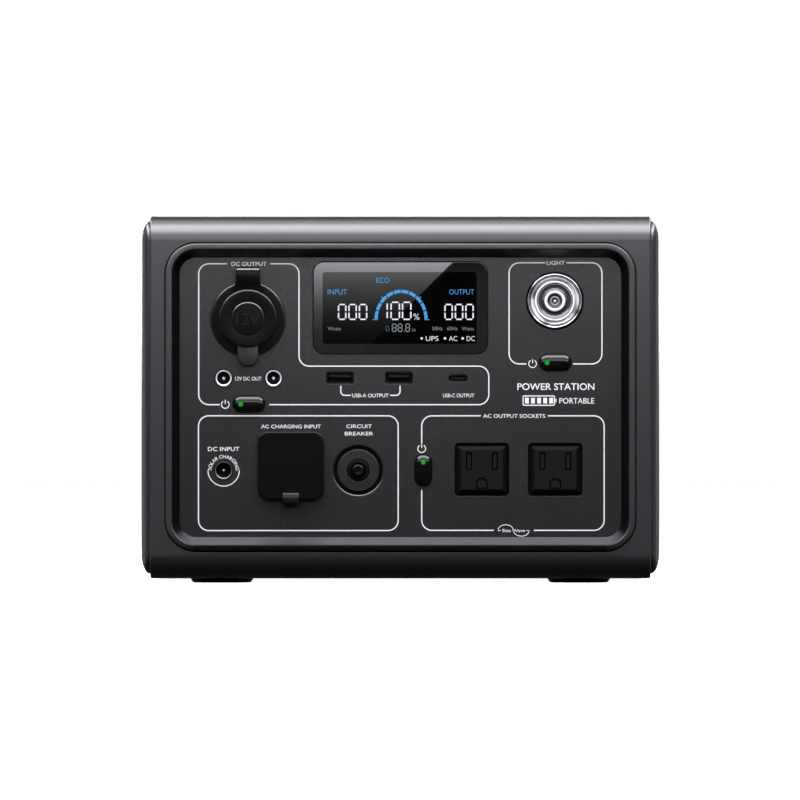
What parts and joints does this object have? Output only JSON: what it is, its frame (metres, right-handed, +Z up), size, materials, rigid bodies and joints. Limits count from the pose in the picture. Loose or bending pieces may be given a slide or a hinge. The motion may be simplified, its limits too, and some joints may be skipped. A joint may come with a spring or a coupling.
{
  "type": "portable power station",
  "caption": "Box-shaped portable battery and inverter with outlets, charging sockets, a display and a lamp on its front, and a fold-flat handle in its top.",
  "frame": {"origin": "middle of the footprint, on the surface that the rubber feet stand on", "axes": "+Z up; the front panel faces -Y; +X runs to the right as the panel is read"},
  "size_m": [0.2556, 0.18, 0.181],
  "materials": {
    "shell_plastic": "satin, fine spark-eroded texture",
    "cover_plastic": "satin, fine spark-eroded texture",
    "panel_plastic": "matte, with thin white print",
    "rubber": "matte",
    "zinc_steel": "plated",
    "black_plastic": "semi-matte",
    "gloss_black": "polished",
    "display_glass": "polished",
    "clear_lens": "polished",
    "indicator_green": "clear, lit from behind",
    "chrome": "vacuum metallised",
    "brass_contact": "plated",
    "circuit_board": "solder mask",
    "battery_cell": "shrink sleeve",
    "aluminium": "mill",
    "white_print": "screen-printed ink",
    "display_light": "lit segments of the display",
    "ferrite_core": "sintered"
  },
  "bodies": {
    "station": {"housing_sleeve": "shell_plastic", "front_bezel": "shell_plastic", "left_side_cover": "cover_plastic", "right_side_cover": "cover_plastic", "front_panel": "panel_plastic", "foot_front_left": "rubber", "foot_front_right": "rubber", "foot_rear_left": "rubber", "foot_rear_right": "rubber", "foot_screw_front_left": "zinc_steel", "foot_screw_front_right": "zinc_steel", "foot_screw_rear_left": "zinc_steel", "foot_screw_rear_right": "zinc_steel", "handle_pin_left": "zinc_steel", "handle_pin_right": "zinc_steel", "type_a_port_left": "zinc_steel", "type_a_port_right": "zinc_steel", "type_c_port": "zinc_steel", "dc_switch": "zinc_steel", "light_switch": "zinc_steel", "ac_switch": "zinc_steel", "handle_tray": "black_plastic", "display_module": "black_plastic", "car_socket_barrel": "black_plastic", "barrel_jack_left": "black_plastic", "barrel_jack_right": "black_plastic", "solar_input_jack": "black_plastic", "ac_inlet": "black_plastic", "breaker_body": "black_plastic", "ac_outlet_left": "black_plastic", "ac_outlet_right": "black_plastic", "battery_cradle_front": "black_plastic", "battery_cradle_rear": "black_plastic", "fan_frame": "black_plastic", "bulk_capacitor": "gloss_black", "display_window": "display_glass", "lamp_lens": "clear_lens", "lamp_reflector": "chrome", "car_socket_contact": "brass_contact", "lamp_led_board": "circuit_board", "control_board": "circuit_board", "battery_monitor_board": "circuit_board", "inverter_board": "circuit_board", "cell_row_lower": "battery_cell", "cell_row_upper": "battery_cell", "deck_plate": "aluminium", "inverter_heatsink": "aluminium", "transformer": "ferrite_core"},
    "handle": {"handle_grip": "shell_plastic"},
    "socket_cap": {"car_socket_cap": "rubber"},
    "inlet_cover": {"ac_inlet_cover": "rubber"},
    "dc_key": {"dc_button": "gloss_black", "dc_button_light_pipe": "indicator_green"},
    "light_key": {"light_button": "gloss_black", "light_button_light_pipe": "indicator_green"},
    "ac_key": {"ac_button": "gloss_black", "ac_button_light_pipe": "indicator_green"},
    "breaker_key": {"breaker_button": "black_plastic"},
    "fan": {"fan_rotor": "black_plastic"}
  },
  "joints": [
    {"name": "handle_fold", "type": "hinge", "parent": "station", "child": "handle", "pos_m": [0, 0, 0.1747], "axis": [1, 0, 0], "range_deg": [0, 90]},
    {"name": "socket_cap_swing", "type": "hinge", "parent": "station", "child": "socket_cap", "pos_m": [-0.0752, -0.0854, 0.1548], "axis": [-1, 0, 0], "range_deg": [0, 120]},
    {"name": "inlet_cover_swing", "type": "hinge", "parent": "station", "child": "inlet_cover", "pos_m": [-0.054, -0.0848, 0.0747], "axis": [-1, 0, 0], "range_deg": [0, 100]},
    {"name": "dc_button_press", "type": "slide", "parent": "station", "child": "dc_key", "axis": [0, 1, 0], "range_m": [0, 0.0008], "stiffness_N_per_m": 400},
    {"name": "light_button_press", "type": "slide", "parent": "station", "child": "light_key", "axis": [0, 1, 0], "range_m": [0, 0.0008], "stiffness_N_per_m": 400},
    {"name": "ac_button_press", "type": "slide", "parent": "station", "child": "ac_key", "axis": [0, 1, 0], "range_m": [0, 0.0008], "stiffness_N_per_m": 400},
    {"name": "breaker_trip", "type": "slide", "parent": "station", "child": "breaker_key", "axis": [0, -1, 0], "range_m": [0, 0.003]},
    {"name": "fan_spin", "type": "hinge", "parent": "station", "child": "fan", "pos_m": [0.108, 0.0245, 0.1216], "axis": [1, 0, 0], "continuous": true}
  ]
}
